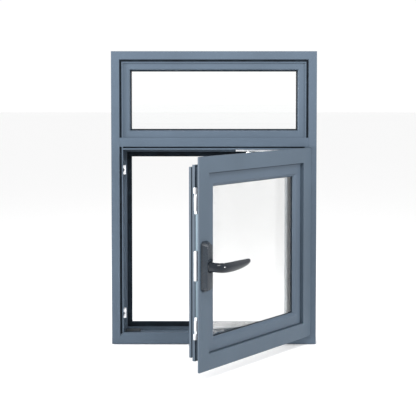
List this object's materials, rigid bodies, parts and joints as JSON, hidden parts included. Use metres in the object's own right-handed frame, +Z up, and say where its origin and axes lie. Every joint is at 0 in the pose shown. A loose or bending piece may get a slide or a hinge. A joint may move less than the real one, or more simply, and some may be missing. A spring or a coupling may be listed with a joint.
{
  "type": "side hung inward opening window with fixed top light",
  "caption": "Small aluminium window with a fixed top light and a side hung sash that opens inward, with a cranked lever handle, sliding lock rods and a friction stay.",
  "frame": {"origin": "centre of the sill's underside, mid depth of the frame", "axes": "+Z up along the jambs, +Y towards outdoors, +X towards the hinge side seen from indoors"},
  "size_m": [0.6, 0.5409, 0.86],
  "materials": {
    "frame_coat": "fine matt powder coat",
    "bead_coat": "fine matt powder coat",
    "sash_coat": "fine matt powder coat",
    "hinge_coat": "fine matt powder coat",
    "thermal_strip": "glass-filled polyamide",
    "cleat_metal": "sawn mill finish",
    "screw_steel": "zinc plated",
    "seal_rubber": "matt EPDM",
    "clear_glass": "clear float",
    "spacer_metal": "warm-edge composite",
    "packer_plastic": "moulded",
    "drain_plastic": "moulded",
    "keeper_white": "satin white",
    "rod_metal": "satin anodised",
    "pivot_steel": "turned",
    "bush_plastic": "moulded acetal",
    "stay_metal": "satin",
    "handle_black": "gloss black-grey",
    "spindle_metal": "turned"
  },
  "bodies": {
    "frame": {"drain_caps": "drain_plastic", "frame_cleats": "cleat_metal", "frame_face_gaskets": "seal_rubber", "frame_head_inner": "frame_coat", "frame_head_outer": "frame_coat", "frame_jamb_left_inner": "frame_coat", "frame_jamb_left_outer": "frame_coat", "frame_jamb_right_inner": "frame_coat", "frame_jamb_right_outer": "frame_coat", "frame_lip_gasket": "seal_rubber", "frame_sill_inner": "frame_coat", "frame_sill_outer": "frame_coat", "frame_thermal_strips": "thermal_strip", "hinge_brackets": "hinge_coat", "hinge_pins": "pivot_steel", "keeper_screws": "screw_steel", "keepers": "keeper_white", "run_up_block": "packer_plastic", "stay_stops": "bush_plastic", "stay_track": "stay_metal", "toplight_beads_level": "bead_coat", "toplight_beads_upright": "bead_coat", "toplight_gaskets": "seal_rubber", "toplight_glass": "clear_glass", "toplight_packers": "packer_plastic", "toplight_spacer": "spacer_metal", "transom_inner": "frame_coat", "transom_outer": "frame_coat", "transom_screws": "screw_steel"},
    "sash": {"sash_beads_level": "bead_coat", "sash_beads_upright": "bead_coat", "sash_corner_cleats": "cleat_metal", "sash_edge_gasket": "seal_rubber", "sash_gaskets": "seal_rubber", "sash_glass": "clear_glass", "sash_packers": "packer_plastic", "sash_rail_bottom_inner": "sash_coat", "sash_rail_bottom_outer": "sash_coat", "sash_rail_top_inner": "sash_coat", "sash_rail_top_outer": "sash_coat", "sash_spacer": "spacer_metal", "sash_stile_hinge_inner": "sash_coat", "sash_stile_hinge_outer": "sash_coat", "sash_stile_lock_inner": "sash_coat", "sash_stile_lock_outer": "sash_coat", "sash_thermal_strips": "thermal_strip", "hinge_bushes": "bush_plastic", "handle_backplate": "handle_black", "handle_screws": "screw_steel", "lock_cover": "keeper_white", "stay_bracket": "stay_metal"},
    "handle": {"handle_lever": "handle_black", "handle_spindle": "spindle_metal"},
    "rod_upper": {"rod_upper": "rod_metal", "lock_hook_upper": "keeper_white"},
    "rod_lower": {"rod_lower": "rod_metal", "lock_hook_lower": "keeper_white"},
    "stay_arm": {"stay_arm": "stay_metal", "stay_slider_pin": "pivot_steel"}
  },
  "joints": [
    {"name": "sash_hinge", "type": "hinge", "parent": "frame", "child": "sash", "pos_m": [0.279, -0.035, 0.3025], "axis": [0, 0, 1], "range_deg": [-55, 10]},
    {"name": "handle_turn", "type": "hinge", "parent": "sash", "child": "handle", "pos_m": [-0.02401, -0.47472, 0.298], "axis": [-0.8192, 0.5736, 0], "range_deg": [0, 90]},
    {"name": "rod_upper_slide", "type": "slide", "parent": "sash", "child": "rod_upper", "axis": [0, 0, 1], "range_m": [0, 0.018]},
    {"name": "rod_lower_slide", "type": "slide", "parent": "sash", "child": "rod_lower", "axis": [0, 0, -1], "range_m": [0, 0.018]},
    {"name": "stay_pivot", "type": "hinge", "parent": "sash", "child": "stay_arm", "pos_m": [0.21837, -0.078, 0.564], "axis": [0, 0, 1], "range_deg": [-16, 86]}
  ],
  "couplings": [
    {"joint": "rod_upper_slide", "follows": "handle_turn", "m_per_rad": 0.011458},
    {"joint": "rod_lower_slide", "follows": "handle_turn", "m_per_rad": 0.011458},
    {"joint": "stay_pivot", "follows": "sash_hinge", "ratio": -1.5475}
  ]
}
